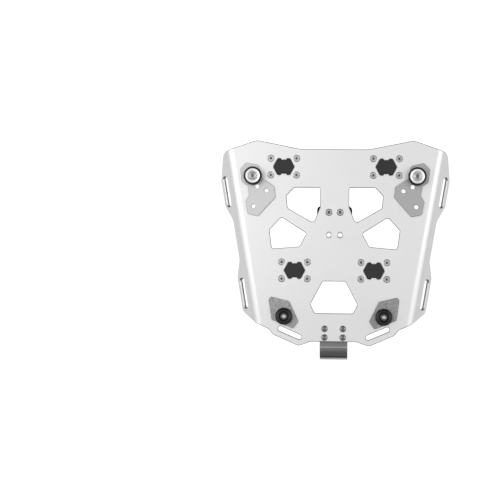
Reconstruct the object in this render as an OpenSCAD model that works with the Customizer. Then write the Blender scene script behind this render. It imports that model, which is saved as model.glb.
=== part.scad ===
// Motorcycle luggage rack with case adapters.
// Origin: top face of the plate, on its centre line, halfway between the straight front and rear edges.
// X to the right, Y to the front of the motorcycle, Z up. Millimetres.

/* [Rack plate] */
// Thickness of the aluminium sheet
plate_t = 5; // [4:0.5:5.5]
// Distance from the origin to the straight front edge, and to the straight rear edge
edge_y = 150; // [148:0.5:156]
// Half width of the straight front edge
front_edge_half = 53; // [45:0.5:60]
// Half distance between the two front shoulders
shoulder_x = 122.5; // [116:0.5:128]
// How far the front shoulders stand in front of the straight edge
shoulder_rise = 14; // [8:0.5:20]
// Corner radius of the front shoulders
shoulder_r = 20; // [10:1:30]
// Break on the long edges of the sheet
edge_break = 0.9; // [0.3:0.1:1.2]

/* [Folded sides] */
// Half width of the plate between its bend lines, at the origin
bend_x = 135.1; // [132:0.1:142]
// Lean of each bend line, wider to the front
bend_lean = 9.5; // [8:0.1:10.5]
// Angle that each side is folded down
fold = 45; // [30:1:60]
// Inside radius of the bend
bend_r = 7; // [4:0.5:9]
// Width of the folded side beside the front slot
side_front_w = 27; // [24:0.1:32]
// Width of the folded side beside the rear slot
side_rear_w = 24.7; // [23:0.1:30]
// Width of the folded side between the slots
side_waist_w = 13.5; // [10:0.1:20]
// Corner radius at the front end of the folded side
side_corner_r = 14; // [8:0.5:16]

/* [Strap slots] */
// Width of every strap slot
slot_w = 7.6; // [6:0.1:8.4]
// Overall length of the slots in the folded sides
side_slot_l = 46.7; // [40:0.1:50]
// Overall length of the two rear slots
rear_slot_l = 39.4; // [30:0.2:42]
// Angle of the rear slots
rear_slot_turn = 23.4; // [18:0.1:28]
// Bevel round the slots in the folded sides
side_slot_bevel = 1.5; // [0.5:0.1:2]
// From the end of the bend to the middle of the front slot
side_slot_front_t = 16.1; // [14:0.1:18]
// From the end of the bend to the middle of the rear slot
side_slot_rear_t = 14.4; // [13:0.1:16]

/* [Lock points] */
// Half distance between the two front lock points
lock_front_x = 79.8; // [76:0.1:84]
// From the front edge back to the front lock points
lock_front_inset = 27.5; // [26:0.1:32]
// Half distance between the two rear lock points
lock_rear_x = 61.8; // [58:0.1:66]
// From the origin back to the rear lock points
lock_rear_y = 39.2; // [34:0.1:42]
// Length of the six sided opening, point to point
hex_points = 33.2; // [30:0.1:35]
// Width of the six sided opening, flat to flat
hex_flats = 25.4; // [23:0.1:27]
// Length of each flat of the six sided opening
hex_flat_l = 19.6; // [16:0.1:22]
// Depth of the tongue on each flat
tongue_depth = 2.3; // [1:0.1:3]
// Width of the tongue at its tip
tongue_w = 7.4; // [5:0.1:9]
// Play round the plug in its opening
plug_gap = 0.3; // [0.1:0.05:0.6]
// How far the plug lies below the plate's top face
plug_sink = 0.6; // [0.2:0.1:1.5]
// Diameter of the plug's spigot
spigot_d = 14; // [10:0.5:18]
// Length of the plug's spigot
spigot_l = 5; // [3:0.5:7]
// Length of the lock housing, side to side
housing_l = 54; // [52:0.5:57]
// Width of the lock housing, front to back
housing_w = 40; // [38:0.5:42]
// From a lock screw's axis out to the end, and to the side, of its housing
lock_screw_inset = 7; // [6.5:0.1:8]
// Thickness of the lock housing's flange
housing_flange_t = 5; // [4:0.5:7]
// Height of the whole lock housing
housing_h = 18; // [16:0.5:19]
// Diameter of the socket that drops over the carrier's pin
socket_d = 18; // [12:0.5:22]
// Depth of that socket
socket_depth = 10; // [8:0.5:11]
// Wall round the socket
socket_wall = 5; // [3:0.5:6]

/* [Front case adapters] */
// Thickness of the adapter plates
adapter_t = 3; // [2:0.5:4]
// Half distance between the front pucks
puck_front_x = 127.4; // [125:0.1:129]
// From the front edge back to the front pucks
puck_front_inset = 42.5; // [40:0.1:46]
// Diameter of the front puck's head and base
puck_front_d = 28.2; // [26:0.1:30]
// Diameter of the front puck's neck
puck_neck_d = 21; // [18:0.5:24]
// Height of the front puck
puck_front_h = 16; // [14:0.5:20]
// Thickness of the puck's head and of its base
puck_rim_h = 6; // [5:0.5:6]
// Diameter of the silver dish in the front puck
dish_d = 22.4; // [20:0.1:23]
// Thickness of the dish
dish_t = 1.2; // [0.8:0.1:2]
// Depth of the dish below the puck's rim
dish_sink = 1; // [0.5:0.1:2]
// Diameter of the spare holes in the front adapters
spare_hole_d = 6.6; // [6:0.1:7]

/* [Rear case adapters] */
// Half distance between the rear pucks
puck_rear_x = 77.5; // [76:0.1:80]
// From the rear edge forward to the rear pucks
puck_rear_inset = 39.2; // [38:0.1:41]
// Diameter of the rear puck's foot
puck_rear_d = 26.5; // [24:0.1:28]
// Diameter of the rear puck's ring
puck_rear_ring_d = 22; // [19:0.1:23]
// Height of the rear puck
puck_rear_h = 11; // [9:0.5:14]
// Height of the rear puck's foot
puck_rear_foot_h = 6; // [4:0.5:7]
// Diameter of the recess in the rear puck
puck_rear_recess_d = 14; // [12:0.1:16]

/* [Centre] */
// Space between the two centre screws, and between the two open holes
centre_pitch = 17.5; // [15:0.1:20]
// From the origin forward to the centre screws
centre_screw_y = 51.7; // [48:0.1:54]
// From the origin forward to the open holes
open_hole_y = 16.4; // [14:0.1:20]
// Length of the block under the centre screws, side to side
block_l = 52; // [46:0.5:54]
// Width of that block, front to back
block_w = 19.3; // [16:0.1:24]
// Height of that block
block_h = 12; // [9:0.5:16]

/* [Rear catch] */
// Width of the folded catch
hook_w = 43.3; // [40:0.1:48]
// Thickness of the catch's sheet
hook_t = 2.5; // [2:0.1:3]
// How far the flat tab reaches in front of the plate's rear edge
hook_tab = 29; // [28:0.5:34]
// From the plate's rear edge back to the start of the curve
hook_flat = 7.6; // [5:0.1:10]
// Outside radius of the curve
hook_r = 18; // [14:0.5:20]
// Angle of the curve
hook_turn = 55; // [45:1:65]
// Straight length below the curve
hook_drop = 3; // [1:0.5:5]
// Length of the lip at the end
hook_lip = 2.8; // [2:0.1:5]
// Space between the catch's screws, side to side
hook_pitch_x = 28.5; // [26:0.1:31]
// Space between the catch's screws, front to back
hook_pitch_y = 13.6; // [12.5:0.1:15]
// From the plate's rear edge forward to the nearer pair of screws
hook_screw_inset = 6.6; // [6:0.1:8]

/* [Fasteners] */
// Diameter of the countersunk screws
small_d = 5; // [4:1:5]
// Diameter of the catch's screws and the rear puck's screws
middle_d = 6; // [5:1:6]
// Diameter of the front puck's screws
large_d = 8; // [6:1:8]
// Play of a screw in its clearance hole, on the diameter
hole_play = 0.5; // [0.3:0.1:0.8]
// Play between a screw and its nut, on the diameter
thread_play = 0.1; // [0.05:0.01:0.2]

/* [Hidden] */
$fn = 64;

// Steps in a rounded corner of an outline, and round each bend
function corner_steps(r) = r < 1.5 ? 2 : r < 5 ? 3 : 5;
bend_steps = 8;
// How far a cutter reaches past the face that it opens
past = 1;
// Radial room round a countersunk head, and how far that lets the head lie below the plate's top face
head_room = 0.5;
screw_sink = head_room - 0.1;

bend_out = bend_r + plate_t;
under = -plate_t;
lock_front_y = edge_y - lock_front_inset;
lock_pitch_x = housing_l - 2 * lock_screw_inset;
lock_pitch_y = housing_w - 2 * lock_screw_inset;
puck_front_y = edge_y - puck_front_inset;
puck_rear_y = -edge_y + puck_rear_inset;
hook_screw_y = -edge_y + hook_screw_inset;

// Fastener proportions, from the screw's diameter
function csk_head_d(d) = 2 * d;
function csk_head_h(d) = d / 2;
function button_head_d(d) = 1.75 * d;
function button_head_h(d) = 0.55 * d;
function button_key(d) = 0.64 * d;
function nut_flats(d) = 1.625 * d;
function nut_h(d) = d;
function washer_d(d) = 2 * d;
function washer_t(d) = 0.2 * d;
function thread_end(d) = 0.25 * d;
function clear_d(d) = d + hole_play;

// Directions and corners of outlines. Outlines run anticlockwise, each corner as x, y and radius.
function flat(p) = [p[0], p[1]];
function unit(v) = v / norm(v);
function left_of(v) = [-v[1], v[0]];
function turned(v, a) = [v[0] * cos(a) - v[1] * sin(a), v[0] * sin(a) + v[1] * cos(a)];
function cross_2d(a, b) = a[0] * b[1] - a[1] * b[0];
function heading(line, i) = unit(flat(line[(i + 1) % len(line)]) - flat(line[i]));

// Corner i once the edges before and after it have moved outward by the values in grow
function moved_corner(line, grow, i) =
    let (n = len(line), before = (i + n - 1) % n)
    let (in = heading(line, before), out = heading(line, i))
    let (normal = -left_of(in), next_normal = -left_of(out))
    let (slide = (grow[i] - grow[before] * (normal * next_normal)) / (in * next_normal))
    flat(line[i]) + normal * grow[before] + in * slide;

// Points of a rounded corner at p, between headings in and out
function corner_arc(p, in, out, r, steps) =
    let (side = sign(cross_2d(in, out)), turn = acos(max(-1, min(1, in * out))))
    let (centre = p - in * (r * tan(turn / 2)) + left_of(in) * (r * side))
    [for (k = [0 : steps]) centre - turned(left_of(in) * (r * side), side * turn * k / steps)];

// Outline with its corners rounded, each edge moved outward by its own value in grow
function ring_by_edge(line, grow) = [
    for (i = [0 : len(line) - 1])
        let (p = moved_corner(line, grow, i))
        let (in = heading(line, (i + len(line) - 1) % len(line)), out = heading(line, i))
        let (r = line[i][2] + sign(cross_2d(in, out)) * grow[i])
        each (line[i][2] > 0 ? corner_arc(p, in, out, max(r, 0.05), corner_steps(line[i][2])) : [p])
];
function ring(line, grow = 0) = ring_by_edge(line, [for (p = line) grow]);
function raised(points, z) = [for (p = points) [p[0], p[1], z]];
function mirrored(line) = [for (i = [len(line) - 1 : -1 : 0]) [-line[i][0], line[i][1], line[i][2]]];

// Solid through rings of equally many points, lowest ring first, closed by a fan at each end
module loft(rings) {
    n = len(rings[0]);
    last = len(rings) - 1;
    foot = len(rings) * n;
    polyhedron(
        points = concat([for (r = rings) each r], [middle(rings[0]), middle(rings[last])]),
        faces = concat(
            [for (k = [0 : n - 1]) [foot, k, (k + 1) % n]],
            [for (k = [0 : n - 1]) [foot + 1, last * n + (k + 1) % n, last * n + k]],
            [for (j = [0 : last - 1]) for (k = [0 : n - 1])
                [j * n + k, (j + 1) * n + k, (j + 1) * n + (k + 1) % n, j * n + (k + 1) % n]]
        )
    );
}
function middle(points) = [for (i = [0 : 2]) (min([for (p = points) p[i]]) + max([for (p = points) p[i]])) / 2];

// Cutter for an opening from z to z + t, which bevels its upper edge by top and its lower edge by foot
module window(line, z, t, top, foot) {
    loft([
        raised(ring(line, foot + past), z - past),
        raised(ring(line), z + foot),
        raised(ring(line), z + t - top),
        raised(ring(line, top + past), z + t + past)
    ]);
}

// Cutter for a slot along Y, overall length l, bevelled like a window
module slot(l, w, z, t, top, foot) {
    side = [
        [w / 2 + foot + past, z - past], [w / 2, z + foot], [w / 2, z + t - top], [w / 2 + top + past, z + t + past]
    ];
    half = (l - w) / 2;
    for (y = [-half, half])
        translate([0, y, 0]) rotate_extrude() polygon(concat([[0, z - past]], side, [[0, z + t + past]]));
    translate([0, half, 0]) rotate([90, 0, 0]) linear_extrude(2 * half)
        polygon(concat(side, [for (i = [3 : -1 : 0]) [-side[i][0], side[i][1]]]));
}

// Round hole through a sheet whose top lies at z
module hole(d, z, t) {
    translate([0, 0, z - t - past]) cylinder(d = d, h = t + 2 * past);
}

// Hole and countersink in a sheet whose top lies at z, a little wider than the screw's head
module sunk_hole(d, z, t) {
    r = clear_d(d) / 2;
    head = csk_head_d(d) / 2 + head_room;
    rotate_extrude() polygon([
        [0, z - t - past], [r, z - t - past], [r, z - head + r], [head + past, z + past], [0, z + past]
    ]);
}

module both_sides() {
    children();
    mirror([1, 0, 0]) children();
}

module at_pattern(px, py) {
    for (x = [-1, 1], y = [-1, 1])
        translate([x * px / 2, y * py / 2, 0]) children();
}

module at_locks() {
    for (x = [-1, 1]) {
        translate([x * lock_front_x, lock_front_y, 0]) children();
        translate([x * lock_rear_x, -lock_rear_y, 0]) children();
    }
}

// Outlines of the plate, right half, from the front
front_chain = [
    [shoulder_x, edge_y + shoulder_rise, shoulder_r],
    [front_edge_half, edge_y, shoulder_r]
];
rear_chain = [
    [-101.5, 19 - edge_y, 8], [-94, 10 - edge_y, 6], [-54.5, -7 - edge_y, 10], [-35.5, -edge_y, 15]
];

// Where each end of the bend line lies, along the line
bend_front_v = 152.8;
bend_rear_v = -127.1;
function on_bend(v) = [bend_x + v * sin(bend_lean), v * cos(bend_lean), 0];
function left_end(p) = [-p[0], p[1], p[2]];
plate_line = concat(
    [on_bend(bend_front_v)], front_chain, mirrored(front_chain),
    [left_end(on_bend(bend_front_v)), left_end(on_bend(bend_rear_v))],
    rear_chain, mirrored(rear_chain), [on_bend(bend_rear_v)]
);

// Outline of a folded side: across is measured from the end of the bend, along follows the bend line
side_line = [
    [0, -121.6, 0],
    [side_rear_w, -101.3, 8], [side_rear_w, -46.9, 10],
    [side_waist_w, -21.9, 10], [side_waist_w, 42, 18],
    [side_front_w, 66.3, 10], [side_front_w, 107.8, 12],
    [11.5, 149.4, side_corner_r],
    [0, 151.4, 0]
];
side_slot_front_v = 87.8;
side_slot_rear_v = -74;

upper_window = [[22.5, 90, 3], [22.5, 60, 6], [32.5, 34.7, 5], [73.3, 58, 4], [75.3, 77, 2], [63.2, 90, 3]];
middle_window = [[43.5, 18.6, 3], [54.4, -1.9, 3], [97.5, -5.7, 4], [101.4, 23.6, 3], [83, 44, 5]];
rear_window = [
    [17.6, -56, 3], [-17.6, -56, 3], [-36.5, -92, 2], [-29.8, -105.8, 4], [29.8, -105.8, 4], [36.5, -92, 2]
];

// The six sided opening with its two tongues, and the plug in it at a negative grow
hex_half = [
    [hex_points / 2, 0, 2],
    [hex_flat_l / 2, hex_flats / 2, 3],
    [tongue_w / 2 + 1.1, hex_flats / 2, 1.2],
    [tongue_w / 2, hex_flats / 2 - tongue_depth, 1],
    [-tongue_w / 2, hex_flats / 2 - tongue_depth, 1],
    [-tongue_w / 2 - 1.1, hex_flats / 2, 1.2],
    [-hex_flat_l / 2, hex_flats / 2, 3]
];
hex_line = concat(hex_half, [for (p = hex_half) [-p[0], -p[1], p[2]]]);

front_adapter_line = [
    [116.7, 120.5, 3], [114.3, 105, 3], [94, 91.4, 3], [92.1, 75, 2], [119.2, 44.7, 3], [135.4, 48.4, 4],
    [139, 67.9, 3], [133.5, 77.8, 3], [135.9, 92.2, 3], [145.2, 98.9, 4], [147.5, 118.7, 5],
    [138, 128.6, 3], [120.6, 125, 4]
];
spare_holes = [[106.6, 85], [120.9, 91.3], [126.7, 60.4]];
rear_adapter_line = [
    [63, -130.1, 3], [97, -116.1, 4], [101.5, -84.8, 4], [98.2, -80.4, 2], [69.8, -87.2, 3], [55, -118.1, 3]
];
rear_slot_centre = [68.3, -136.7];

// Moves what lies on the outer face of the right folded side's own plane to its place
module on_side() {
    translate([bend_x, 0, 0]) rotate([0, 0, -bend_lean])
        translate([bend_out * sin(fold), 0, -bend_out * (1 - cos(fold))])
            rotate([0, fold, 0]) children();
}

// A point of the right bend or folded side: distance out, distance along, height
function off_bend(u, v, z) = [
    bend_x + u * cos(bend_lean) + v * sin(bend_lean), v * cos(bend_lean) - u * sin(bend_lean), z
];
function side_point(p, depth) = off_bend(
    bend_out * sin(fold) + p[0] * cos(fold) - depth * sin(fold),
    p[1],
    -bend_out * (1 - cos(fold)) - p[0] * sin(fold) - depth * cos(fold)
);
function bend_point(part, v, depth) =
    let (r = bend_out - depth)
    off_bend(r * sin(fold * part), v, r * cos(fold * part) - bend_out);
function along(p) = (p[0] - bend_x) * sin(bend_lean) + p[1] * cos(bend_lean);

// Growth of every edge of the two outlines for one of the whole: none along the bend lines
left_bend_edge = 2 * len(front_chain) + 1;
plate_grow = [for (i = [0 : len(plate_line) - 1]) i == left_bend_edge || i == len(plate_line) - 1 ? 0 : 1];
side_grow = [for (i = [0 : len(side_line) - 1]) i == len(side_line) - 1 ? 0 : 1];

// Growth of an outline and depth, at the four lines along the edge of a sheet
edge_lines = [[-edge_break, 0], [0, edge_break], [0, plate_t - edge_break], [-edge_break, plate_t]];

// The whole sheet in one piece: flat plate, two bends and two folded sides, right side first
module folded_sheet() {
    plate = [for (e = edge_lines) raised(ring_by_edge(plate_line, plate_grow * e[0]), -e[1])];
    side_flat = [for (e = edge_lines) ring_by_edge(side_line, side_grow * e[0])];
    side = [for (j = [0 : 3]) each [for (p = side_flat[j]) side_point(p, edge_lines[j][1])]];
    n = len(plate[0]);
    m = len(side_flat[0]);
    half = [for (k = [0 : n - 1]) if (plate[0][k][0] < 0 && plate[0][k][1] < 0) k][0];

    // A section through the bend has eight corners: line along the edge, and rear or front end
    corners = [[0, 0], [1, 0], [2, 0], [3, 0], [3, 1], [2, 1], [1, 1], [0, 1]];
    function plate_end(c) = along(plate[c[0]][c[1] == 0 ? n - 1 : 0]);
    function side_end(c) = side_flat[c[0]][c[1] == 0 ? 0 : m - 1][1];
    bends = [for (i = [1 : bend_steps - 1]) for (c = corners) let (k = i / bend_steps)
        bend_point(k, (1 - k) * plate_end(c) + k * side_end(c), edge_lines[c[0]][1])];

    side_from = 4 * n;
    bend_from = side_from + 8 * m;
    function section(i, left) =
        i == 0 ? [for (c = corners) c[0] * n + (left ? half - 1 + (1 - c[1]) : c[1] == 0 ? n - 1 : 0)]
        : i == bend_steps ? [for (c = corners) side_from + (left ? 4 * m : 0) + c[0] * m + (c[1] == 0 ? 0 : m - 1)]
        : [for (k = [0 : 7]) bend_from + (left ? len(bends) : 0) + (i - 1) * 8 + k];
    function bend_faces(left) = [for (i = [0 : bend_steps - 1]) for (k = [0 : 7])
        let (a = section(i, left), b = section(i + 1, left), l = (k + 1) % 8) [a[k], b[k], b[l], a[l]]];
    // Walls and bevels along the edge points first to last of a ring of n points
    function edge_faces(from, n, first, last) = [for (j = [0 : 2]) for (k = [first : last - 1])
        let (a = from + j * n + k) [a + n, a, a + 1, a + n + 1]];
    // Each flat face is two fans, because the outlines are not convex
    waist = [for (k = [0 : m - 1]) if (side_flat[0][k][1] > 0) k][0];
    function plate_fans(from) = [
        [from + n - 1, for (k = [0 : half - 1]) from + k],
        [for (k = [half - 1 : n - 1]) from + k]
    ];
    function side_fans(from) = [
        [for (k = [0 : waist]) from + k],
        [from + m - 1, from, for (k = [waist : m - 2]) from + k]
    ];
    // Turned over, but still a fan round its first point
    function turned_over(faces) = [for (f = faces) [f[0], for (k = [len(f) - 1 : -1 : 1]) f[k]]];
    right = concat(side_fans(side_from + 3 * m), turned_over(side_fans(side_from)), edge_faces(side_from, m, 0, m - 1));
    polyhedron(
        points = concat([for (r = plate) each r], side, [for (p = side) left_end(p)], bends, [for (p = bends) left_end(p)]),
        faces = concat(
            plate_fans(3 * n), turned_over(plate_fans(0)),
            edge_faces(0, n, 0, half - 1), edge_faces(0, n, half, n - 1),
            right, turned_over([for (f = right) [for (k = f) k + 4 * m]]),
            bend_faces(false), turned_over(bend_faces(true))
        )
    );
}

module rack_plate() {
    color("gainsboro") difference() {
        folded_sheet();
        window(rear_window, under, plate_t, edge_break, edge_break);
        both_sides() {
            window(upper_window, under, plate_t, edge_break, edge_break);
            window(middle_window, under, plate_t, edge_break, edge_break);
            translate([rear_slot_centre[0], rear_slot_centre[1], 0]) rotate([0, 0, rear_slot_turn - 90])
                slot(rear_slot_l, slot_w, under, plate_t, edge_break, edge_break);
            on_side() {
                translate([side_slot_front_t, side_slot_front_v, 0])
                    slot(side_slot_l, slot_w, under, plate_t, side_slot_bevel, edge_break);
                translate([side_slot_rear_t, side_slot_rear_v, 0])
                    slot(side_slot_l, slot_w, under, plate_t, side_slot_bevel, edge_break);
            }
            for (p = spare_holes)
                translate(p) hole(spare_hole_d, 0, plate_t);
            translate([puck_front_x, puck_front_y, 0]) hole(clear_d(large_d), 0, plate_t);
            translate([puck_rear_x, puck_rear_y, 0]) hole(clear_d(middle_d), 0, plate_t);
        }
        at_locks() {
            window(hex_line, under, plate_t, edge_break, edge_break);
            at_pattern(lock_pitch_x, lock_pitch_y) sunk_hole(small_d, 0, plate_t);
        }
        for (x = [-1, 1], y = [centre_screw_y, open_hole_y])
            translate([x * centre_pitch / 2, y, 0]) sunk_hole(small_d, 0, plate_t);
        translate([0, hook_screw_y + hook_pitch_y / 2, 0])
            at_pattern(hook_pitch_x, hook_pitch_y) hole(clear_d(middle_d), 0, plate_t);
    }
}

module adapter_plate_front() {
    color("silver") difference() {
        linear_extrude(adapter_t) polygon(ring(front_adapter_line));
        for (p = spare_holes)
            translate(p) hole(spare_hole_d, adapter_t, adapter_t);
        translate([puck_front_x, puck_front_y, 0]) hole(clear_d(large_d), adapter_t, adapter_t);
    }
}

module adapter_plate_rear() {
    color("gray") difference() {
        linear_extrude(adapter_t) polygon(ring(rear_adapter_line));
        translate([puck_rear_x, puck_rear_y, 0]) hole(clear_d(middle_d), adapter_t, adapter_t);
    }
}

// Heights in the front puck's stack
puck_top = adapter_t + puck_front_h;
recess_floor = puck_top - dish_sink - dish_t - 3;
dish_floor_d = 16;

module puck_front() {
    r = puck_front_d / 2;
    soft = 1;
    color("dimgray") translate([puck_front_x, puck_front_y, 0]) difference() {
        rotate_extrude() polygon([
            [clear_d(large_d) / 2, adapter_t],
            [r - soft, adapter_t], [r, adapter_t + soft],
            [r, adapter_t + puck_rim_h - soft], [r - soft, adapter_t + puck_rim_h],
            [puck_neck_d / 2, adapter_t + puck_rim_h + soft],
            [puck_neck_d / 2, puck_top - puck_rim_h - soft],
            [r - soft, puck_top - puck_rim_h], [r, puck_top - puck_rim_h + soft],
            [r, puck_top - soft], [r - soft, puck_top],
            [dish_d / 2 + plug_gap, puck_top],
            [dish_d / 2 + plug_gap, recess_floor + 3],
            [dish_floor_d / 2, recess_floor],
            [clear_d(large_d) / 2, recess_floor]
        ]);
    }
}

module puck_dish() {
    color("lightgray") translate([puck_front_x, puck_front_y, 0]) rotate_extrude() polygon([
        [clear_d(large_d) / 2, recess_floor],
        [dish_floor_d / 2, recess_floor],
        [dish_d / 2, recess_floor + 3],
        [dish_d / 2, recess_floor + 3 + dish_t],
        [dish_floor_d / 2, recess_floor + dish_t],
        [clear_d(large_d) / 2, recess_floor + dish_t]
    ]);
}

// Six sided socket in the top of a screw
module key_socket(flats, depth) {
    translate([0, 0, -depth]) rotate([0, 0, 30]) cylinder(d = flats / cos(30), h = depth + past, $fn = 6);
}

// Button head screw: its head stands on z = 0
module button_screw(d, l) {
    head_d = button_head_d(d);
    head_h = button_head_h(d);
    ball = (head_d * head_d / 4 + head_h * head_h) / (2 * head_h);
    difference() {
        union() {
            intersection() {
                translate([0, 0, head_h - ball]) sphere(r = ball, $fn = 96);
                cylinder(d = head_d, h = head_h);
            }
            translate([0, 0, -l]) cylinder(d = d, h = l + head_h / 4);
        }
        translate([0, 0, head_h]) key_socket(button_key(d), 0.6 * head_h);
    }
}

// Cylinder head screw: its head stands on z = 0
module cap_screw(d, l, key) {
    difference() {
        union() {
            cylinder(d = 1.65 * d, h = d);
            translate([0, 0, -l]) cylinder(d = d, h = l + d / 4);
        }
        translate([0, 0, d]) key_socket(key, 0.5 * d);
    }
}

// Countersunk screw: its head's top lies at z = 0
module countersunk_screw(d, l, key) {
    head_h = csk_head_h(d);
    difference() {
        union() {
            translate([0, 0, -head_h]) cylinder(d1 = d, d2 = csk_head_d(d), h = head_h);
            translate([0, 0, -l]) cylinder(d = d, h = l - head_h / 2);
        }
        key_socket(key, 0.5 * d);
    }
}

// Lock nut below z = 0: a hexagon and the round collar that holds its insert
module lock_nut(d) {
    h = nut_h(d);
    translate([0, 0, -h]) difference() {
        union() {
            translate([0, 0, 0.3 * h]) cylinder(d = nut_flats(d) / cos(30), h = 0.7 * h, $fn = 6);
            cylinder(d = 0.9 * nut_flats(d), h = 0.4 * h);
        }
        hole(d + thread_play, h, h);
    }
}

module washer(d) {
    translate([0, 0, -washer_t(d)]) difference() {
        cylinder(d = washer_d(d), h = washer_t(d));
        hole(clear_d(d), washer_t(d), washer_t(d));
    }
}

module puck_screws_front() {
    seat = recess_floor + dish_t;
    reach = seat + plate_t + washer_t(large_d) + nut_h(large_d) + thread_end(large_d);
    color("lightgray") both_sides() translate([puck_front_x, puck_front_y, seat])
        button_screw(large_d, reach);
}

module puck_washers_front() {
    color("lightgray") both_sides() translate([puck_front_x, puck_front_y, under]) washer(large_d);
}

module puck_nuts_front() {
    color("lightgray") both_sides()
        translate([puck_front_x, puck_front_y, under - washer_t(large_d)]) lock_nut(large_d);
}

// Heights in the rear puck's stack
rear_puck_top = adapter_t + puck_rear_h;
rear_recess_floor = adapter_t + 3;

module puck_rear() {
    foot = puck_rear_d / 2;
    ring_out = puck_rear_ring_d / 2;
    soft = 1.2;
    color("dimgray") translate([puck_rear_x, puck_rear_y, 0]) rotate_extrude() polygon([
        [clear_d(middle_d) / 2, adapter_t],
        [foot, adapter_t],
        [foot, adapter_t + puck_rear_foot_h - soft], [foot - soft, adapter_t + puck_rear_foot_h],
        [ring_out, adapter_t + puck_rear_foot_h + 0.5],
        [ring_out, rear_puck_top - soft], [ring_out - soft, rear_puck_top],
        [puck_rear_recess_d / 2 + soft, rear_puck_top],
        [puck_rear_recess_d / 2, rear_puck_top - soft],
        [puck_rear_recess_d / 2, rear_recess_floor],
        [clear_d(middle_d) / 2, rear_recess_floor]
    ]);
}

module puck_screws_rear() {
    reach = rear_recess_floor + plate_t + washer_t(middle_d) + nut_h(middle_d) + thread_end(middle_d);
    color("silver") both_sides() translate([puck_rear_x, puck_rear_y, rear_recess_floor])
        cap_screw(middle_d, reach, 5);
}

module puck_washers_rear() {
    color("silver") both_sides() translate([puck_rear_x, puck_rear_y, under]) washer(middle_d);
}

module puck_nuts_rear() {
    color("silver") both_sides()
        translate([puck_rear_x, puck_rear_y, under - washer_t(middle_d)]) lock_nut(middle_d);
}

// Moulded housing under a lock point: flange, round socket body and four webs
module lock_housing() {
    half_l = housing_l / 2;
    half_w = housing_w / 2;
    body_d = socket_d + 2 * socket_wall;
    cut = lock_screw_inset + 1;
    line = [
        [half_l, cut - half_w, 3], [half_l, half_w - cut, 3], [half_l - cut, half_w, 3], [cut - half_l, half_w, 3],
        [-half_l, half_w - cut, 3], [-half_l, cut - half_w, 3], [cut - half_l, -half_w, 3], [half_l - cut, -half_w, 3]
    ];
    color("dimgray") difference() {
        union() {
            translate([0, 0, under - housing_flange_t]) linear_extrude(housing_flange_t) polygon(ring(line));
            translate([0, 0, under - housing_h]) cylinder(d = body_d, h = housing_h);
            for (a = [0 : 90 : 270]) rotate([0, 0, a]) web(a % 180 == 0 ? half_l - 3 : half_w - 3);
        }
        translate([0, 0, under - housing_h - past]) cylinder(d = socket_d, h = socket_depth + past);
        translate([0, 0, under - housing_h - past])
            cylinder(d1 = socket_d + 2 + 2 * past, d2 = socket_d, h = 1 + past);
        translate([0, 0, under - spigot_l - 0.5]) cylinder(d = spigot_d + 2 * plug_gap, h = spigot_l + 0.5 + past);
        at_pattern(lock_pitch_x, lock_pitch_y) hole(clear_d(small_d), under, housing_flange_t);
    }
}

// Web that stiffens the flange, along +X
module web(reach) {
    thick = 3;
    translate([0, thick / 2, 0]) rotate([90, 0, 0]) linear_extrude(thick) polygon([
        [0, under - housing_flange_t / 2], [0, under - housing_h + 2], [socket_d / 2 + socket_wall, under - housing_h + 2],
        [reach, under - housing_flange_t], [reach, under - housing_flange_t / 2]
    ]);
}

// Plug that closes the six sided opening, held by its spigot in the housing
module plug() {
    color("dimgray") union() {
        loft([
            raised(ring(hex_line, -plug_gap), under),
            raised(ring(hex_line, -plug_gap), -plug_sink - 0.8),
            raised(ring(hex_line, -plug_gap - 0.25), -plug_sink - 0.25),
            raised(ring(hex_line, -plug_gap - 0.8), -plug_sink)
        ]);
        translate([0, 0, under - spigot_l]) cylinder(d = spigot_d, h = spigot_l + 1);
    }
}

lock_screw_l = 16;

module lock_screws() {
    color("silver") at_locks() at_pattern(lock_pitch_x, lock_pitch_y)
        translate([0, 0, -screw_sink]) countersunk_screw(small_d, lock_screw_l, 3);
}

module lock_nuts() {
    color("silver") at_locks() at_pattern(lock_pitch_x, lock_pitch_y)
        translate([0, 0, under - housing_flange_t]) lock_nut(small_d);
}

module at_centre() {
    for (x = [-1, 1]) translate([x * centre_pitch / 2, centre_screw_y, 0]) children();
}

module centre_block() {
    half_l = block_l / 2;
    half_w = block_w / 2;
    corner = 6;
    line = [
        [half_l, -half_w, corner], [half_l, half_w, corner], [-half_l, half_w, corner], [-half_l, -half_w, corner]
    ];
    color("dimgray") difference() {
        translate([0, centre_screw_y, under - block_h]) linear_extrude(block_h) polygon(ring(line));
        at_centre() {
            hole(clear_d(small_d), under, block_h);
            translate([0, 0, under - block_h - past])
                cylinder(d = (nut_flats(small_d) + hole_play) / cos(30), h = nut_h(small_d) + past, $fn = 6);
        }
    }
}

module centre_screws() {
    color("silver") at_centre() translate([0, 0, -screw_sink]) countersunk_screw(small_d, plate_t + block_h, 3);
}

module centre_nuts() {
    color("silver") at_centre() translate([0, 0, under - block_h + nut_h(small_d)]) lock_nut(small_d);
}

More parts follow.
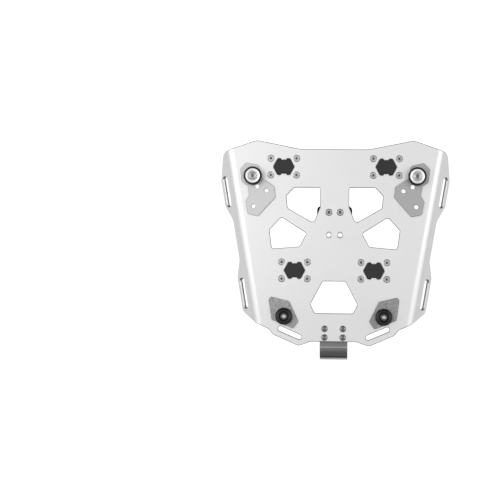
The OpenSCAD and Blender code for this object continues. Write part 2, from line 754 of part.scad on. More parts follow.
// Side view of the catch, as distance back from the plate's rear edge and height
module hook_profile() {
    small_r = 2;
    steps = 10;
    deep = hook_r - hook_t;
    wide = small_r + hook_t;
    curve_end = [hook_flat + hook_r * sin(hook_turn), under - hook_r * (1 - cos(hook_turn))];
    way = [cos(hook_turn), -sin(hook_turn)];
    inward = [-sin(hook_turn), -cos(hook_turn)];
    foot = curve_end + way * hook_drop;
    foot_centre = foot - inward * small_r;
    low = foot_centre[1] - small_r;
    polygon(concat(
        [[-hook_tab, under]],
        [for (k = [0 : steps]) let (a = hook_turn * k / steps)
            [hook_flat + hook_r * sin(a), under - hook_r * (1 - cos(a))]],
        [for (k = [0 : steps]) let (a = hook_turn * (1 - k / steps))
            foot_centre + small_r * [-sin(a), -cos(a)]],
        [[foot_centre[0] + hook_lip, low], [foot_centre[0] + hook_lip, low - hook_t]],
        [for (k = [0 : steps]) let (a = hook_turn * k / steps)
            foot_centre + wide * [-sin(a), -cos(a)]],
        [for (k = [0 : steps]) let (a = hook_turn * (1 - k / steps))
            [hook_flat + deep * sin(a), under - hook_t - deep * (1 - cos(a))]],
        [[-hook_tab, under - hook_t]]
    ));
}

module at_hook_screws() {
    translate([0, hook_screw_y + hook_pitch_y / 2, 0]) at_pattern(hook_pitch_x, hook_pitch_y) children();
}

module rear_hook() {
    color("darkgray") difference() {
        translate([0, -edge_y, 0]) rotate([90, 0, -90])
            translate([0, 0, -hook_w / 2]) linear_extrude(hook_w) hook_profile();
        at_hook_screws() hole(clear_d(middle_d), under, hook_t);
    }
}

module hook_screws() {
    reach = plate_t + hook_t + washer_t(middle_d) + nut_h(middle_d) + thread_end(middle_d);
    color("gray") at_hook_screws() button_screw(middle_d, reach);
}

module hook_washers() {
    color("gray") at_hook_screws() translate([0, 0, under - hook_t]) washer(middle_d);
}

module hook_nuts() {
    color("gray") at_hook_screws() translate([0, 0, under - hook_t - washer_t(middle_d)]) lock_nut(middle_d);
}

module at_lock(x, y) {
    translate([x, y, 0]) children();
}

rack_plate();
mirror([1, 0, 0]) adapter_plate_front();  // adapter_plate_front_left
adapter_plate_front();  // adapter_plate_front_right
mirror([1, 0, 0]) adapter_plate_rear();  // adapter_plate_rear_left
adapter_plate_rear();  // adapter_plate_rear_right
mirror([1, 0, 0]) puck_front();  // puck_front_left
puck_front();  // puck_front_right
mirror([1, 0, 0]) puck_dish();  // puck_dish_left
puck_dish();  // puck_dish_right
puck_screws_front();
puck_washers_front();
puck_nuts_front();
mirror([1, 0, 0]) puck_rear();  // puck_rear_left
puck_rear();  // puck_rear_right
puck_screws_rear();
puck_washers_rear();
puck_nuts_rear();
at_lock(-lock_front_x, lock_front_y) lock_housing();  // lock_housing_front_left
at_lock(lock_front_x, lock_front_y) lock_housing();  // lock_housing_front_right
at_lock(-lock_rear_x, -lock_rear_y) lock_housing();  // lock_housing_rear_left
at_lock(lock_rear_x, -lock_rear_y) lock_housing();  // lock_housing_rear_right
at_lock(-lock_front_x, lock_front_y) plug();  // plug_front_left
at_lock(lock_front_x, lock_front_y) plug();  // plug_front_right
at_lock(-lock_rear_x, -lock_rear_y) plug();  // plug_rear_left
at_lock(lock_rear_x, -lock_rear_y) plug();  // plug_rear_right
lock_screws();
lock_nuts();
centre_block();
centre_screws();
centre_nuts();
rear_hook();
hook_screws();
hook_washers();
hook_nuts();
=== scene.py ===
import math

import bmesh
import bpy
from mathutils import Matrix, Vector


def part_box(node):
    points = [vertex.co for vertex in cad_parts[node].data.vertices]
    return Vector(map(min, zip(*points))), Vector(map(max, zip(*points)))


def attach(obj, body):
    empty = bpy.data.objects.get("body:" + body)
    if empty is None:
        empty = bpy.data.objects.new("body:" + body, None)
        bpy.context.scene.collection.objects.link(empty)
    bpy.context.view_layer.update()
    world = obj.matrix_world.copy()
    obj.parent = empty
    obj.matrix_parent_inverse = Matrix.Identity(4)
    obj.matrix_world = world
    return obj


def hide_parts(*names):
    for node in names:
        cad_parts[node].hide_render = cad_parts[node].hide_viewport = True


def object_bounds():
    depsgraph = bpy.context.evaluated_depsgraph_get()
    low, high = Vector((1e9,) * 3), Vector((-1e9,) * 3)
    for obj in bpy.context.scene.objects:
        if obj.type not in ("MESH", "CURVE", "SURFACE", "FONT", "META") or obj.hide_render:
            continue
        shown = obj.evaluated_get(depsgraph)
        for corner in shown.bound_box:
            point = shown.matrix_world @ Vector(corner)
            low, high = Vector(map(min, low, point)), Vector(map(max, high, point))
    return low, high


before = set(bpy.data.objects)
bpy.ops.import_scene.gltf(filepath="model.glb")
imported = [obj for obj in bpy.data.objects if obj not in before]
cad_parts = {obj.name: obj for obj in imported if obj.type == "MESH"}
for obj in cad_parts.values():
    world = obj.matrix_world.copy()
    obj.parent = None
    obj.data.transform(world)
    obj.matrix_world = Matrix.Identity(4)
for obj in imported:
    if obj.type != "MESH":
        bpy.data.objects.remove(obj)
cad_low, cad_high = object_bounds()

MM = 0.001
scene = bpy.context.scene


# The camera: a long lens straight above the rack, with the rack in the right half of a square frame. It looks
# down past the rack's left edge, and the rack is turned by under half a degree to the frame.
frame_width = 781.25 * MM
aim = Vector((-131.5, -8.05, 0)) * MM
eye = Vector((20, -25, 2400)) * MM
frame_turn = math.radians(0.48)
camera_reach = 20

camera_data = bpy.data.cameras.new("camera")
camera = bpy.data.objects.new("camera", camera_data)
scene.collection.objects.link(camera)
back = (eye - aim).normalized()
across = Vector((-math.sin(frame_turn), math.cos(frame_turn), 0)).cross(back).normalized()
upward = back.cross(across)
camera.matrix_world = Matrix.Translation(eye) @ Matrix((across, upward, back)).transposed().to_4x4()
camera_data.sensor_width = 36
camera_data.lens = camera_data.sensor_width * (eye - aim).length / frame_width
camera_data.clip_end = camera_reach
scene.camera = camera


# A shooting table under the rack, lit from below along the middle and pure white to the camera, as when a
# picture is cut out. The rack stands on the low edges of its folded sides.
def fade_forward(tree, coordinate, edges, levels):
    """A value that goes from one level to the other as a point or a direction lies farther forward or back."""
    nodes, links = tree.nodes, tree.links
    place = nodes.new("ShaderNodeTexCoord")
    parts = nodes.new("ShaderNodeSeparateXYZ")
    links.new(place.outputs[coordinate], parts.inputs["Vector"])
    forward = nodes.new("ShaderNodeMath")
    forward.operation = "ABSOLUTE"
    links.new(parts.outputs["Y"], forward.inputs[0])
    fade = nodes.new("ShaderNodeMapRange")
    fade.interpolation_type = "SMOOTHSTEP"
    links.new(forward.outputs[0], fade.inputs["Value"])
    fade.inputs["From Min"].default_value, fade.inputs["From Max"].default_value = edges
    fade.inputs["To Min"].default_value, fade.inputs["To Max"].default_value = levels
    return fade.outputs["Result"]


half_table = 3
table_grey = 0.3
lit_strip = (0.20, 0.34)
strip_light = 0.60

table_data = bpy.data.meshes.new("table")
table = bpy.data.objects.new("table", table_data)
scene.collection.objects.link(table)
table_corners = ((-half_table, -half_table), (half_table, -half_table), (half_table, half_table),
                 (-half_table, half_table))
table_data.from_pydata([(x, y, cad_low.z) for x, y in table_corners], [], [(0, 1, 2, 3)])
table_finish = bpy.data.materials.new("white table")
table_finish.use_nodes = True
nodes, links = table_finish.node_tree.nodes, table_finish.node_tree.links
shader = nodes["Principled BSDF"]
shader.inputs["Base Color"].default_value = (table_grey, table_grey, table_grey, 1)
shader.inputs["Roughness"].default_value = 0.9
shader.inputs["Specular IOR Level"].default_value = 0.1
shader.inputs["Emission Color"].default_value = (1, 1, 1, 1)
ray = nodes.new("ShaderNodeLightPath")
glow = nodes.new("ShaderNodeMix")
links.new(ray.outputs["Is Camera Ray"], glow.inputs["Factor"])
links.new(fade_forward(table_finish.node_tree, "Object", lit_strip, (strip_light, 0)), glow.inputs["A"])
glow.inputs["B"].default_value = 1
links.new(glow.outputs["Result"], shader.inputs["Emission Strength"])
table_data.materials.append(table_finish)


# Studio light: a softbox high on each side, a narrow one above on the left, and one near the rack's left front
# corner, in a light room. Dark boards in front and behind keep the edges that face those ways dark.
def softbox(name, place, target, width, depth, radiance):
    data = bpy.data.lights.new(name, "AREA")
    data.shape = "RECTANGLE"
    data.size = width
    data.size_y = depth
    data.energy = radiance * math.pi * width * depth
    lamp = bpy.data.objects.new(name, data)
    scene.collection.objects.link(lamp)
    lamp.location = place
    lamp.rotation_mode = "QUATERNION"
    lamp.rotation_quaternion = (Vector(place) - Vector(target)).to_track_quat("Z", "Y")


softbox("left softbox", (-1.5, 0.1, 1.7), (0, 0, 0), 1.1, 2.4, 1.14)
softbox("right softbox", (1.5, 0.1, 1.7), (0, 0, 0), 1.1, 2.4, 1.40)
softbox("left strip", (-0.95, 0.1, 2.1), (0, 0, 0), 0.5, 2.2, 0.47)
softbox("front corner softbox", (-0.55, 0.45, 1.5), (-0.05, 0.05, 0), 0.9, 0.9, 0.67)

room_light = 0.50
board_light = 0.125
board_edges = (0.45, 0.9)
room = bpy.data.worlds.new("studio")
scene.world = room
room.use_nodes = True
nodes, links = room.node_tree.nodes, room.node_tree.links
ray = nodes.new("ShaderNodeLightPath")
seen = nodes.new("ShaderNodeMath")
seen.operation = "ADD"
links.new(fade_forward(room.node_tree, "Generated", board_edges, (room_light, board_light)), seen.inputs[0])
links.new(ray.outputs["Is Camera Ray"], seen.inputs[1])
links.new(seen.outputs[0], nodes["Background"].inputs["Strength"])
nodes["Background"].inputs["Color"].default_value = (1, 1, 1, 1)
scene.view_settings.view_transform = "Standard"


# The rack plate: 5 mm aluminium, laser cut, both long sides folded down on a press brake and the whole
# blasted, so that it is satin all over with a fine grain. Cut-outs and edges are broken by a router.
def surface_grain_group():
    group = bpy.data.node_groups.new("surface_grain", "ShaderNodeTree")
    face = group.interface
    face.new_socket("Vector", in_out="INPUT", socket_type="NodeSocketVector")
    for name, value in (("Grain Size", 1.0), ("Colour Swing", 0.05), ("Roughness", 0.4), ("Roughness Swing", 0.05),
                        ("Cloud Size", 60.0)):
        face.new_socket(name, in_out="INPUT", socket_type="NodeSocketFloat").default_value = value
    face.new_socket("Colour", in_out="INPUT", socket_type="NodeSocketColor").default_value = (0.8, 0.8, 0.8, 1)
    face.new_socket("Colour", in_out="OUTPUT", socket_type="NodeSocketColor")
    face.new_socket("Roughness", in_out="OUTPUT", socket_type="NodeSocketFloat")
    face.new_socket("Height", in_out="OUTPUT", socket_type="NodeSocketFloat")
    nodes, links = group.nodes, group.links
    entry = nodes.new("NodeGroupInput")
    leave = nodes.new("NodeGroupOutput")

    def noise(size_socket, detail):
        per_metre = nodes.new("ShaderNodeMath")
        per_metre.operation = "DIVIDE"
        per_metre.inputs[0].default_value = 1 / MM
        links.new(entry.outputs[size_socket], per_metre.inputs[1])
        texture = nodes.new("ShaderNodeTexNoise")
        texture.inputs["Detail"].default_value = detail
        links.new(entry.outputs["Vector"], texture.inputs["Vector"])
        links.new(per_metre.outputs[0], texture.inputs["Scale"])
        return texture.outputs["Fac"]

    def swing(value, base, amount):
        centred = nodes.new("ShaderNodeMath")
        centred.operation = "SUBTRACT"
        centred.inputs[1].default_value = 0.5
        links.new(value, centred.inputs[0])
        scaled = nodes.new("ShaderNodeMath")
        scaled.operation = "MULTIPLY_ADD"
        links.new(centred.outputs[0], scaled.inputs[0])
        links.new(amount, scaled.inputs[1])
        if base is None:
            scaled.inputs[2].default_value = 1.0
        else:
            links.new(base, scaled.inputs[2])
        return scaled.outputs[0]

    grain = noise("Grain Size", 3)
    cloud = noise("Cloud Size", 2)
    both = nodes.new("ShaderNodeMix")
    both.inputs["Factor"].default_value = 0.5
    links.new(grain, both.inputs["A"])
    links.new(cloud, both.inputs["B"])
    lightness = swing(both.outputs["Result"], None, entry.outputs["Colour Swing"])
    tint = nodes.new("ShaderNodeVectorMath")
    tint.operation = "SCALE"
    links.new(entry.outputs["Colour"], tint.inputs[0])
    links.new(lightness, tint.inputs["Scale"])
    links.new(tint.outputs[0], leave.inputs["Colour"])
    links.new(swing(both.outputs["Result"], entry.outputs["Roughness"], entry.outputs["Roughness Swing"]),
              leave.inputs["Roughness"])
    links.new(grain, leave.inputs["Height"])
    return group


surface_grain = surface_grain_group()


def grained(name, colour, roughness, metallic, grain_mm, colour_swing, rough_swing, bump_mm, cloud_mm=60.0,
            stretch=(1, 1, 1)):
    """A material with the shared grain, in its own colour, size and strength."""
    material = bpy.data.materials.new(name)
    material.use_nodes = True
    nodes, links = material.node_tree.nodes, material.node_tree.links
    shader = nodes["Principled BSDF"]
    place = nodes.new("ShaderNodeTexCoord")
    spread = nodes.new("ShaderNodeMapping")
    spread.inputs["Scale"].default_value = stretch
    links.new(place.outputs["Object"], spread.inputs["Vector"])
    grain = nodes.new("ShaderNodeGroup")
    grain.node_tree = surface_grain
    links.new(spread.outputs["Vector"], grain.inputs["Vector"])
    grain.inputs["Grain Size"].default_value = grain_mm
    grain.inputs["Cloud Size"].default_value = cloud_mm
    grain.inputs["Colour Swing"].default_value = colour_swing
    grain.inputs["Roughness"].default_value = roughness
    grain.inputs["Roughness Swing"].default_value = rough_swing
    grain.inputs["Colour"].default_value = (*colour, 1)
    links.new(grain.outputs["Colour"], shader.inputs["Base Color"])
    links.new(grain.outputs["Roughness"], shader.inputs["Roughness"])
    shader.inputs["Metallic"].default_value = metallic
    relief = nodes.new("ShaderNodeBump")
    relief.inputs["Distance"].default_value = bump_mm * MM
    links.new(grain.outputs["Height"], relief.inputs["Height"])
    links.new(relief.outputs["Normal"], shader.inputs["Normal"])
    return material


same_point = 0.002 * MM
same_plane = math.radians(0.2)


def joined_up(node):
    """The triangles of a CAD node with their shared corners made one."""
    shape = bmesh.new()
    shape.from_mesh(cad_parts[node].data)
    bmesh.ops.remove_doubles(shape, verts=shape.verts, dist=same_point)
    return shape


def object_of(shape, name, *materials):
    data = bpy.data.meshes.new(name)
    shape.to_mesh(data)
    shape.free()
    for material in materials:
        data.materials.append(material)
    piece = bpy.data.objects.new(name, data)
    scene.collection.objects.link(piece)
    return piece


def merged_copy(node, name, *materials):
    """A copy of a CAD node with its triangles merged and its flat faces whole."""
    shape = joined_up(node)
    bmesh.ops.dissolve_limit(shape, angle_limit=same_plane, verts=shape.verts, edges=shape.edges)
    return object_of(shape, name, *materials)


smooth_below = math.radians(30)
rounded_above = math.radians(35)


def soften(piece, round_mm):
    """Curves shaded smooth, sharp edges rounded, and flat faces shaded flat right up to their edges."""
    for face in piece.data.polygons:
        face.use_smooth = True
    piece.data.set_sharp_from_angle(angle=smooth_below)
    if round_mm:
        rounding = piece.modifiers.new("edge rounding", "BEVEL")
        rounding.width = round_mm * MM
        rounding.segments = 2
        rounding.limit_method = "ANGLE"
        rounding.angle_limit = rounded_above
    flatten = piece.modifiers.new("flat faces", "WEIGHTED_NORMAL")
    flatten.keep_sharp = True
    flatten.weight = 80


def stands_for(piece, node):
    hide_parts(node)
    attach(piece, "root")


def finished(node, name, material, round_mm=0.0, edge_material=None):
    """A CAD node dressed in one material, with its broken edges in another where that is given."""
    piece = merged_copy(node, name, material)
    soften(piece, round_mm)
    if edge_material:
        piece.data.materials.append(edge_material)
        piece.modifiers["edge rounding"].material = 1
    stands_for(piece, node)
    return piece


broad_area = (30 * MM) ** 2
widest_wall = 3.8 * MM
longest_wall = 150 * MM
apart_from_broad = math.cos(math.radians(6))


def narrow_faces(piece):
    """The walls and broken edges: narrow faces, not as long as a bend's strips, that face another way than the
    broad ones."""
    mesh = piece.data
    broad = [face.normal.copy() for face in mesh.polygons if face.area > broad_area]
    for face in mesh.polygons:
        length = max((mesh.vertices[a].co - mesh.vertices[b].co).length for a, b in face.edge_keys)
        narrow = face.area < widest_wall * length and length < longest_wall
        if narrow and all(face.normal.dot(normal) < apart_from_broad for normal in broad):
            yield face


def ease_bends(piece):
    """A press brake bends the sheet over a little more than the tool's own radius: each bend starts earlier on
    the flat and ends later on the side, and both faces stay one thickness apart."""
    line_x, lean, turn = 135.1 * MM, math.radians(9.5), math.radians(45)
    tight = 12 * MM
    start = 2.4 * MM
    wide = tight + start / math.tan(turn / 2)
    rows = 3
    on_the_cut = 0.0001 * MM
    shape = bmesh.new()
    shape.from_mesh(piece.data)
    for side in (1, -1):
        out = Vector((side * math.cos(lean), -math.sin(lean), 0))
        foot = Vector((side * line_x, 0, 0))
        down_side = out * math.cos(turn) - Vector((0, 0, math.sin(turn)))
        side_foot = foot + out * tight * math.sin(turn) - Vector((0, 0, tight * (1 - math.cos(turn))))
        for row in range(1, rows + 1):
            step = start * row / rows
            for point, normal in ((foot - out * step, out), (side_foot + down_side * step, down_side)):
                near = [face for face in shape.faces if side * face.calc_center_median().x > 0]
                whole = set(near)
                for face in near:
                    whole.update(face.edges)
                    whole.update(face.verts)
                bmesh.ops.bisect_plane(shape, geom=list(whole), dist=on_the_cut, plane_co=point, plane_no=normal)
        for vertex in shape.verts:
            if side * vertex.co.x < 0.5 * line_x:
                continue
            u, z = (vertex.co - foot).dot(out), vertex.co.z
            angle = math.atan2(u, z + tight)
            if u <= 0:
                way, depth = u, -z
            elif angle <= turn:
                way, depth = tight * angle, tight - math.hypot(u, z + tight)
            else:
                along = (vertex.co - side_foot).dot(down_side)
                way = tight * turn + along
                depth = -(vertex.co - side_foot).dot(out * math.sin(turn) + Vector((0, 0, math.cos(turn))))
            share = (way + start) / (tight * turn + 2 * start)
            if 0 < share < 1:
                new_angle, radius = turn * share, wide - depth
                new_u = radius * math.sin(new_angle) - start
                vertex.co += out * (new_u - u)
                vertex.co.z = radius * math.cos(new_angle) - wide
    shape.to_mesh(piece.data)
    shape.free()


plate_finish = grained("blasted aluminium", (0.86, 0.86, 0.865), 0.42, 0.9, 1.6, 0.10, 0.10, 0.008)
# The cut edges' dark colour is painted shade: it stands in for the shade on the plate's walls and broken edges.
edge_shade_finish = grained("aluminium edge painted dark for shade", (0.28, 0.28, 0.285), 0.5, 1.0, 1.2, 0.15, 0.1, 0.008)
lock_places = ("front_left", "front_right", "rear_left", "rear_right")
plug_boxes = [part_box(f"plug_{place}") for place in lock_places]
plug_margin = 2 * MM
open_holes = [(x * MM, 16.4 * MM) for x in (-8.75, 8.75)]
countersink_reach = 6 * MM


def edge_keeps_plate_colour(spot):
    """Beside the plugs and in the two open holes the broken edges keep the plate's colour; elsewhere they are
    painted dark, as painted shade.
    """
    beside_plug = any(low.x - plug_margin < spot.x < high.x + plug_margin
                      and low.y - plug_margin < spot.y < high.y + plug_margin for low, high in plug_boxes)
    return beside_plug or any(math.hypot(spot.x - x, spot.y - y) < countersink_reach for x, y in open_holes)


plate = merged_copy("rack_plate", "folded_plate", plate_finish, edge_shade_finish)
# Painted shade: the narrow walls and broken edges are painted dark, except beside the plugs and in the open holes.
for face in narrow_faces(plate):
    if not edge_keeps_plate_colour(face.center):
        face.material_index = 1
ease_bends(plate)
soften(plate, 0)
stands_for(plate, "rack_plate")


# The front case adapters: 3 mm aluminium plates, laser cut and blasted duller than the rack. The right one is
# painted darker than the left as painted shade, and their broken edges are painted dark as painted shade. Each is
# held down by its puck's screw, and its spare holes take the pucks of other cases.
for side, shade in (("left", 0.68), ("right", 0.48)):
    front_adapter_finish = grained(f"dull aluminium with painted side shade {side}", (shade, shade, shade), 0.5, 1.0, 1.4, 0.25, 0.1, 0.02)
    finished(f"adapter_plate_front_{side}", f"front_adapter_{side}", front_adapter_finish, 0.6,
             edge_material=edge_shade_finish)


# The rear case adapters: 3 mm steel plates, laser cut, with a coarse and darker powder coat. The right one is
# painted darker than the left as painted shade, and their broken edges are painted dark as painted shade. Each is
# held by its puck's screw, which goes on through the rack plate.
coat_edge_shade_finish = grained("coat edge painted dark for shade", (0.16, 0.16, 0.16), 0.5, 0.7, 2.0, 0.6, 0.2, 0.03)
for side, shade in (("left", 0.42), ("right", 0.36)):
    rear_adapter_finish = grained(f"grainy coat with painted side shade {side}", (shade, shade, shade), 0.55, 0.7, 2.0, 1.6, 0.2, 0.05,
                                  cloud_mm=4)
    finished(f"adapter_plate_rear_{side}", f"rear_adapter_{side}", rear_adapter_finish, 0.5,
             edge_material=coat_edge_shade_finish)


# The front pucks: turned from black plastic, with a groove that the case's claws grip and a silver dish
# pressed into the top under the screw's head.
puck_finish = grained("deep black moulding", (0.005, 0.005, 0.005), 0.4, 0.0, 0.6, 0.3, 0.1, 0.01)
dish_finish = grained("turned dish", (0.97, 0.97, 0.97), 0.4, 1.0, 0.8, 0.03, 0.08, 0.004)


def turned(name, material, centre, profile, steps=96):
    """A ring turned on a lathe round an upright line: the profile is a closed line of radius and height."""
    shape = bmesh.new()
    rings = []
    for step in range(steps):
        angle = math.tau * step / steps
        rings.append([shape.verts.new((centre.x + r * math.cos(angle), centre.y + r * math.sin(angle), z))
                      for r, z in profile])
    for step in range(steps):
        one, other = rings[step], rings[(step + 1) % steps]
        for k in range(len(profile)):
            after = (k + 1) % len(profile)
            shape.faces.new((one[k], other[k], other[after], one[after]))
    bmesh.ops.recalc_face_normals(shape, faces=shape.faces)
    return object_of(shape, name, material)


dish_ring_in = 7.9 * MM
dish_floor = 7.2 * MM
dish_slope = 0.5 * MM
dish_thick = 1.2 * MM
dish_foot = 8 * MM
dish_rim_low = 3 * MM
dish_hole = 4.5 * MM
for side in ("left", "right"):
    finished(f"puck_front_{side}", f"front_puck_{side}", puck_finish, 0.3)
    low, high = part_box(f"puck_dish_{side}")
    rim = (high.x - low.x) / 2
    seat = low.z + dish_thick
    dish = turned(f"dish_{side}", dish_finish, (low + high) / 2, (
        (rim, high.z), (dish_ring_in, high.z - dish_slope), (dish_floor, seat), (dish_hole, seat),
        (dish_hole, low.z), (dish_foot, low.z), (rim, low.z + dish_rim_low),
    ))
    soften(dish, 0.15)
    stands_for(dish, f"puck_dish_{side}")


# The rear pucks: stepped pucks moulded from black rubber, on which the case's back rests. Each has a screw with
# a cylinder head deep in its recess, which holds it and its adapter to the rack plate.
rubber_finish = grained("black rubber", (0.007, 0.007, 0.007), 0.32, 0.0, 0.7, 0.3, 0.1, 0.02)
for side in ("left", "right"):
    finished(f"puck_rear_{side}", f"rear_puck_{side}", rubber_finish, 0.8)


# The plugs that close the lock points, and the housings and the block under the plate: all moulded from black
# plastic. The housings and the block are screwed up against the plate, and each plug snaps into its opening.
moulding_finish = grained("black moulding", (0.012, 0.012, 0.013), 0.45, 0.0, 0.6, 0.3, 0.1, 0.01)
for place in lock_places:
    finished(f"plug_{place}", f"plug_in_{place}", moulding_finish, 0.0)
    finished(f"lock_housing_{place}", f"housing_{place}", moulding_finish, 0.3)
# Painted shade: the block is painted blacker than the other mouldings and given less sheen, for its place under
# the plate.
block_shade_finish = grained("black block painted darker for shade", (0.003, 0.003, 0.003), 0.7, 0.0, 0.6, 0.3, 0.1, 0.01)
block_shade_finish.node_tree.nodes["Principled BSDF"].inputs["Specular IOR Level"].default_value = 0.15
block = finished("centre_block", "block_under_centre", block_shade_finish, 0.3)
block_seen_more = 1.05
for vertex in block.data.vertices:
    vertex.co.x *= block_seen_more


# Screws of plain stainless steel, and zinc plated nuts and washers under the plate. Each kind is one fastener
# set in rows, and every one has stopped at its own turn when it was tightened.
def fastener_rows_tree():
    tree = bpy.data.node_groups.new("fastener_rows", "GeometryNodeTree")
    face = tree.interface
    face.new_socket("Spots", in_out="INPUT", socket_type="NodeSocketGeometry")
    face.new_socket("Fastener", in_out="INPUT", socket_type="NodeSocketObject")
    face.new_socket("Turn Swing", in_out="INPUT", socket_type="NodeSocketFloat")
    face.new_socket("Turn Seed", in_out="INPUT", socket_type="NodeSocketInt")
    face.new_socket("Finish", in_out="INPUT", socket_type="NodeSocketMaterial")
    face.new_socket("Fasteners", in_out="OUTPUT", socket_type="NodeSocketGeometry")
    nodes, links = tree.nodes, tree.links
    entry = nodes.new("NodeGroupInput")
    leave = nodes.new("NodeGroupOutput")
    one = nodes.new("GeometryNodeObjectInfo")
    one.transform_space = "ORIGINAL"
    links.new(entry.outputs["Fastener"], one.inputs["Object"])
    chance = nodes.new("FunctionNodeRandomValue")
    chance.data_type = "FLOAT"
    low, high = (socket for socket in chance.inputs if socket.name in ("Min", "Max") and socket.type == "VALUE")
    low.default_value = 0
    links.new(entry.outputs["Turn Swing"], high)
    links.new(entry.outputs["Turn Seed"], chance.inputs["Seed"])
    turn = nodes.new("ShaderNodeCombineXYZ")
    links.new(next(socket for socket in chance.outputs if socket.type == "VALUE"), turn.inputs["Z"])
    rotation = nodes.new("FunctionNodeEulerToRotation")
    links.new(turn.outputs["Vector"], rotation.inputs["Euler"])
    set_in = nodes.new("GeometryNodeInstanceOnPoints")
    links.new(entry.outputs["Spots"], set_in.inputs["Points"])
    links.new(one.outputs["Geometry"], set_in.inputs["Instance"])
    links.new(rotation.outputs["Rotation"], set_in.inputs["Rotation"])
    real = nodes.new("GeometryNodeRealizeInstances")
    links.new(set_in.outputs["Instances"], real.inputs["Geometry"])
    index = nodes.new("GeometryNodeInputMaterialIndex")
    bare = nodes.new("FunctionNodeCompare")
    bare.data_type = "INT"
    bare.operation = "EQUAL"
    index_in, zero_in = (socket for socket in bare.inputs if socket.type == "INT")
    links.new(index.outputs[0], index_in)
    zero_in.default_value = 0
    finish = nodes.new("GeometryNodeSetMaterial")
    links.new(real.outputs["Geometry"], finish.inputs["Geometry"])
    links.new(bare.outputs["Result"], finish.inputs["Selection"])
    links.new(entry.outputs["Finish"], finish.inputs["Material"])
    links.new(finish.outputs["Geometry"], leave.inputs["Fasteners"])
    return tree


fastener_rows = fastener_rows_tree()


def one_and_spots(node):
    """One fastener of a CAD node, centred on its own axis, and the spots where its likes are."""
    shape = joined_up(node)
    left = set(shape.verts)
    likes = []
    while left:
        grow = [left.pop()]
        body = list(grow)
        while grow:
            vertex = grow.pop()
            for edge in vertex.link_edges:
                other = edge.other_vert(vertex)
                if other in left:
                    left.remove(other)
                    grow.append(other)
                    body.append(other)
        low = Vector(min(v.co[axis] for v in body) for axis in range(3))
        high = Vector(max(v.co[axis] for v in body) for axis in range(3))
        likes.append(((low + high) / 2, body))
    likes.sort(key=lambda like: (round(like[0].y, 5), round(like[0].x, 5)))
    spots = [spot for spot, body in likes]
    keep = set(likes[0][1])
    bmesh.ops.delete(shape, geom=[v for v in shape.verts if v not in keep], context="VERTS")
    bmesh.ops.translate(shape, verts=shape.verts, vec=-spots[0])
    bmesh.ops.dissolve_limit(shape, angle_limit=same_plane, verts=shape.verts, edges=shape.edges)
    return object_of(shape, f"one of {node}"), spots


def shade_socket(one, reach_mm, material):
    """The key socket and the broken edge round the head get a second material: painted shade on most screws, a
    painted highlight on the rear puck screws.
    """
    one.data.materials.append(bare_steel)
    one.data.materials.append(material)
    top = max(vertex.co.z for vertex in one.data.vertices)
    reach = reach_mm * MM
    for face in one.data.polygons:
        corners = [one.data.vertices[corner].co for corner in face.vertices]
        if all(math.hypot(c.x, c.y) < reach and c.z > top - 1.5 * reach for c in corners):
            face.material_index = 1
    one.modifiers["edge rounding"].material = 1


turn_swing = math.tau / 6


def set_in_rows(node, name, material, round_mm, socket_mm, socket_painted_light_material, turn_seed):
    """A CAD node of like fasteners, made again as one fastener set at every one of their spots."""
    one, spots = one_and_spots(node)
    soften(one, round_mm)
    if socket_mm:
        shade_socket(one, socket_mm, socket_painted_light_material)
    rows_data = bpy.data.meshes.new(name)
    rows_data.from_pydata(spots, [], [])
    rows = bpy.data.objects.new(name, rows_data)
    scene.collection.objects.link(rows)
    modifier = rows.modifiers.new("rows", "NODES")
    modifier.node_group = fastener_rows
    sockets = {item.name: item.identifier for item in fastener_rows.interface.items_tree if item.in_out == "INPUT"}
    modifier[sockets["Fastener"]] = one
    modifier[sockets["Turn Swing"]] = turn_swing
    modifier[sockets["Turn Seed"]] = turn_seed
    modifier[sockets["Finish"]] = material
    bpy.context.view_layer.update()
    evaluated = rows.evaluated_get(bpy.context.evaluated_depsgraph_get())
    rows.data = bpy.data.meshes.new_from_object(evaluated)
    rows.modifiers.clear()
    bpy.data.objects.remove(one)
    stands_for(rows, node)


bare_steel = grained("stainless screw", (0.55, 0.55, 0.56), 0.35, 1.0, 0.5, 0.06, 0.08, 0.003)
dark_steel = grained("dark stainless screw", (0.42, 0.42, 0.43), 0.3, 1.0, 0.5, 0.9, 0.1, 0.003, cloud_mm=3)
zinc_finish = grained("zinc plate", (0.60, 0.61, 0.62), 0.35, 1.0, 0.8, 0.08, 0.1, 0.003)
# Painted shade: the key sockets and the broken edges round the heads are painted dark, for the shade in the
# sockets and in the gap round each head.
socket_shade_finish = grained("painted shade in the socket", (0.20, 0.20, 0.20), 0.35, 1.0, 0.5, 0.3, 0.1, 0.01)
satin_steel = grained("satin steel screw", (0.85, 0.85, 0.85), 0.5, 1.0, 0.5, 0.06, 0.08, 0.003)
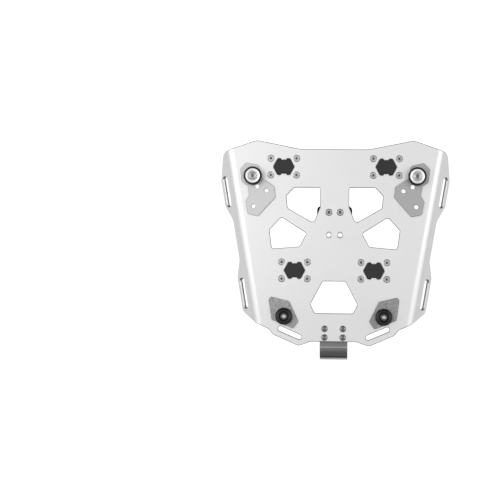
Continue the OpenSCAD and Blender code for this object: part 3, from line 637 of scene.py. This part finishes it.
# The rear puck screws: heads painted dark as painted shade for their deep recesses, sockets and head rims painted
# bright as a painted highlight.
recess_shade_steel = grained("screw head painted dark for shade", (0.10, 0.10, 0.10), 0.4, 1.0, 0.5, 0.06, 0.08, 0.003)
painted_glint_steel = grained("steel with painted glint", (0.70, 0.70, 0.70), 0.3, 1.0, 0.5, 0.06, 0.08, 0.003)
first_seed = 3
for seed, (node, name, slot, finish, round_mm, socket_mm, socket_painted_light) in enumerate((
    ("lock_screws", "lock_point_screws", "screws", bare_steel, 0.5, 1.8, socket_shade_finish),
    ("centre_screws", "block_screws", "screws", bare_steel, 0.8, 1.8, socket_shade_finish),
    ("puck_screws_front", "front_puck_screws", "screws", satin_steel, 0.3, 3.1, socket_shade_finish),
    ("puck_screws_rear", "rear_puck_screws", "screws", recess_shade_steel, 0.5, 3.0, painted_glint_steel),
    ("hook_screws", "catch_screws", "dark_screws", dark_steel, 0.4, 2.3, socket_shade_finish),
    ("lock_nuts", "lock_point_nuts", "zinc", zinc_finish, 0.15, 0, None),
    ("centre_nuts", "block_nuts", "zinc", zinc_finish, 0.15, 0, None),
    ("puck_nuts_front", "front_puck_nuts", "zinc", zinc_finish, 0.2, 0, None),
    ("puck_nuts_rear", "rear_puck_nuts", "zinc", zinc_finish, 0.2, 0, None),
    ("hook_nuts", "catch_nuts", "zinc", zinc_finish, 0.2, 0, None),
    ("puck_washers_front", "front_puck_washers", "zinc", zinc_finish, 0.1, 0, None),
    ("puck_washers_rear", "rear_puck_washers", "zinc", zinc_finish, 0.1, 0, None),
    ("hook_washers", "catch_washers", "zinc", zinc_finish, 0.1, 0, None),
), first_seed):
    set_in_rows(node, name, finish, round_mm, socket_mm, socket_painted_light, seed)


# The rear catch: 2.5 mm stainless sheet, brushed across, folded down and back to a short lip, and screwed under
# the plate. Its colour is painted darker than stainless, as painted shade under the plate's edge, with a painted
# highlight in a thin line along its bend and at the lip, and painted shade growing darker on the way down.
catch_painted_light_finish = grained("brushed stainless with painted light", (0.30, 0.30, 0.305), 0.5, 1.0, 0.7, 0.45, 0.15, 0.006, cloud_mm=7,
                       stretch=(0.2, 1, 1))
catch_painted_light_bands = (
    (-150.0, 0.75), (-157.6, 0.85), (-158.3, 1.75), (-159.0, 1.75), (-159.7, 0.75), (-161.5, 1.05), (-167.5, 1.0),
    (-173.5, 0.45), (-175.4, 0.45), (-176.2, 1.5), (-179.0, 1.5),
)
catch_front, catch_end = catch_painted_light_bands[0][0], catch_painted_light_bands[-1][0]
brightest_painted_band = max(tone for y, tone in catch_painted_light_bands)
nodes, links = catch_painted_light_finish.node_tree.nodes, catch_painted_light_finish.node_tree.links
spot = nodes.new("ShaderNodeTexCoord")
apart = nodes.new("ShaderNodeSeparateXYZ")
links.new(spot.outputs["Object"], apart.inputs["Vector"])
along = nodes.new("ShaderNodeMapRange")
along.inputs["From Min"].default_value = catch_front * MM
along.inputs["From Max"].default_value = catch_end * MM
links.new(apart.outputs["Y"], along.inputs["Value"])
bands = nodes.new("ShaderNodeValToRGB")
steps = bands.color_ramp.elements
for y, tone in catch_painted_light_bands:
    place = (y - catch_front) / (catch_end - catch_front)
    element = steps[0] if y == catch_front else steps[-1] if y == catch_end else steps.new(place)
    element.position = place
    element.color = (tone / brightest_painted_band, tone / brightest_painted_band, tone / brightest_painted_band, 1)
links.new(along.outputs["Result"], bands.inputs["Fac"])
shader = nodes["Principled BSDF"]
banded = nodes.new("ShaderNodeVectorMath")
banded.operation = "MULTIPLY"
links.new(shader.inputs["Base Color"].links[0].from_socket, banded.inputs[0])
links.new(bands.outputs["Color"], banded.inputs[1])
brought_up = nodes.new("ShaderNodeVectorMath")
brought_up.operation = "SCALE"
brought_up.inputs["Scale"].default_value = brightest_painted_band
links.new(banded.outputs["Vector"], brought_up.inputs[0])
links.new(brought_up.outputs["Vector"], shader.inputs["Base Color"])
finished("rear_hook", "folded_catch", catch_painted_light_finish, 0.25)
